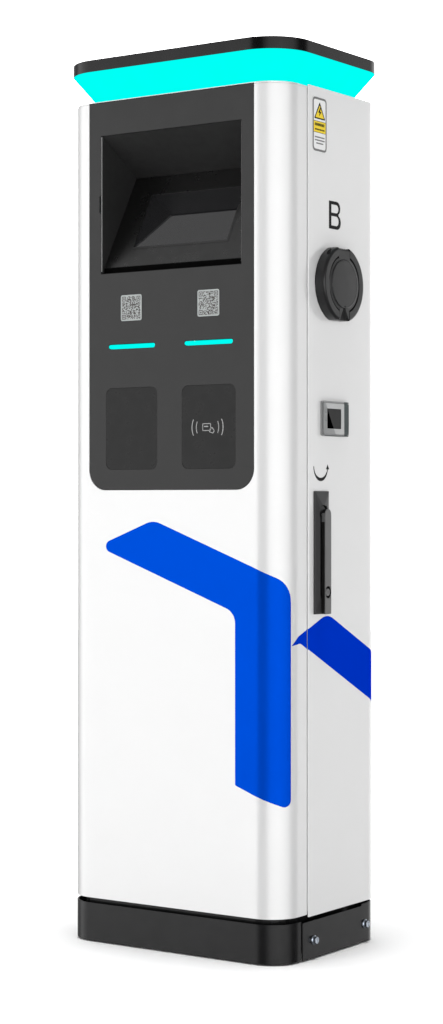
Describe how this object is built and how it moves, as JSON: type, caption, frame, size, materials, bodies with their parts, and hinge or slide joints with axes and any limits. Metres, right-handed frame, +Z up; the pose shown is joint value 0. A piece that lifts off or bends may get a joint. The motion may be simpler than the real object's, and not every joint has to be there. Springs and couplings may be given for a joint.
{
  "type": "ev charging post",
  "caption": "Free-standing charging post with a hooded screen, card pads, a lit band under its cap, lidded side outlets and a lockable service door.",
  "frame": {"origin": "centre of the footprint, on the floor", "axes": "+Z up, the screen side faces -Y, +X to the right seen from the front (the service door side)"},
  "size_m": [0.4964, 0.325, 1.5],
  "materials": {
    "white_paint": "satin powder coat",
    "plinth_paint": "matt powder coat",
    "cap_paint": "matt powder coat",
    "panel_dark": "satin",
    "pad_dark": "satin",
    "light_guide": "lit diffuser",
    "black_plastic": "fine moulded texture",
    "screen_glass": "polished",
    "clear_cover": "clear, tinted",
    "handle_grey": "die-cast, powder coated",
    "lever_grey": "die-cast, powder coated",
    "label": "printed film",
    "zinc": "zinc plated",
    "grey_plastic": "moulded",
    "dark_plastic": "moulded",
    "circuit_board": "solder mask",
    "gland_rubber": "matt"
  },
  "bodies": {
    "post": {"base_frame": "plinth_paint", "plinth_front_cover": "plinth_paint", "plinth_rear_cover": "plinth_paint", "plinth_cover_right": "plinth_paint", "plinth_cover_left": "plinth_paint", "plinth_bolt_front_right": "zinc", "plinth_bolt_front_left": "zinc", "plinth_bolt_rear_right": "zinc", "plinth_bolt_rear_left": "zinc", "body_floor": "zinc", "gland_plate": "zinc", "cable_gland": "gland_rubber", "front_shell": "white_paint", "top_plate": "white_paint", "left_panel": "white_paint", "rear_panel": "white_paint", "inner_frame": "zinc", "front_panel": "panel_dark", "status_light_right": "light_guide", "status_light_left": "light_guide", "card_pad_right": "pad_dark", "card_pad_left": "pad_dark", "card_reader_board": "circuit_board", "code_label_right": "label", "code_label_left": "label", "display_hood": "black_plastic", "display_glass": "screen_glass", "display_module": "dark_plastic", "light_band": "light_guide", "top_cap": "cap_paint", "led_board": "circuit_board", "socket_housing_left": "black_plastic", "socket_insert_left": "dark_plastic", "window_frame_left": "grey_plastic", "breaker_left": "grey_plastic", "hazard_label_left": "label", "hinge_leaf_fixed": "zinc", "mounting_plate": "zinc", "terminal_block": "grey_plastic", "energy_meter": "grey_plastic", "contactor_left": "dark_plastic", "contactor_right": "dark_plastic", "charge_controller": "dark_plastic"},
    "door": {"door_skin": "white_paint", "hinge_leaf_door": "zinc", "socket_housing_right": "black_plastic", "socket_insert_right": "dark_plastic", "window_frame_right": "grey_plastic", "breaker_right": "grey_plastic", "hazard_label_right": "label", "handle_dish": "handle_grey"},
    "handle_hub": {"handle_hub": "handle_grey"},
    "lever": {"handle_lever": "lever_grey"},
    "lock": {"lock_cylinder": "handle_grey"},
    "lid_right": {"socket_lid_right": "black_plastic"},
    "flap_right": {"window_flap_right": "clear_cover"},
    "toggle_right": {"breaker_toggle_right": "dark_plastic"},
    "lid_left": {"socket_lid_left": "black_plastic"},
    "flap_left": {"window_flap_left": "clear_cover"},
    "toggle_left": {"breaker_toggle_left": "dark_plastic"}
  },
  "joints": [
    {"name": "door_hinge", "type": "hinge", "parent": "post", "child": "door", "pos_m": [0.165, 0.1573, 0.75], "axis": [0, 0, 1], "range_deg": [0, 110]},
    {"name": "handle_turn", "type": "hinge", "parent": "door", "child": "handle_hub", "pos_m": [0.2327, -0.0355, 0.735], "axis": [1, 0, 0], "range_deg": [0, 90]},
    {"name": "lever_lift", "type": "hinge", "parent": "handle_hub", "child": "lever", "pos_m": [0.2327, -0.0355, 0.7402], "axis": [0, -1, 0], "range_deg": [0, 35]},
    {"name": "lock_turn", "type": "hinge", "parent": "lever", "child": "lock", "pos_m": [0.2362, -0.0355, 0.6005], "axis": [1, 0, 0], "range_deg": [0, 90]},
    {"name": "socket_lid_right", "type": "hinge", "parent": "door", "child": "lid_right", "pos_m": [0.2377, 0.0095, 1.165], "axis": [0, -1, 0], "range_deg": [0, 100], "stiffness_Nm_per_rad": 0.05, "springref_deg": -28.65},
    {"name": "window_flap_right", "type": "hinge", "parent": "door", "child": "flap_right", "pos_m": [0.2279, -0.0333, 0.8868], "axis": [0, 0, -1], "range_deg": [0, 110]},
    {"name": "breaker_toggle_right", "type": "hinge", "parent": "door", "child": "toggle_right", "pos_m": [0.2117, 0.0043, 0.8868], "axis": [0, 1, 0], "range_deg": [0, 50]},
    {"name": "socket_lid_left", "type": "hinge", "parent": "post", "child": "lid_left", "pos_m": [-0.2377, 0.0095, 1.165], "axis": [0, 1, 0], "range_deg": [0, 100], "stiffness_Nm_per_rad": 0.05, "springref_deg": -28.65},
    {"name": "window_flap_left", "type": "hinge", "parent": "post", "child": "flap_left", "pos_m": [-0.2279, -0.0333, 0.8868], "axis": [0, 0, 1], "range_deg": [0, 110]},
    {"name": "breaker_toggle_left", "type": "hinge", "parent": "post", "child": "toggle_left", "pos_m": [-0.2117, 0.0043, 0.8868], "axis": [0, -1, 0], "range_deg": [0, 50]}
  ]
}
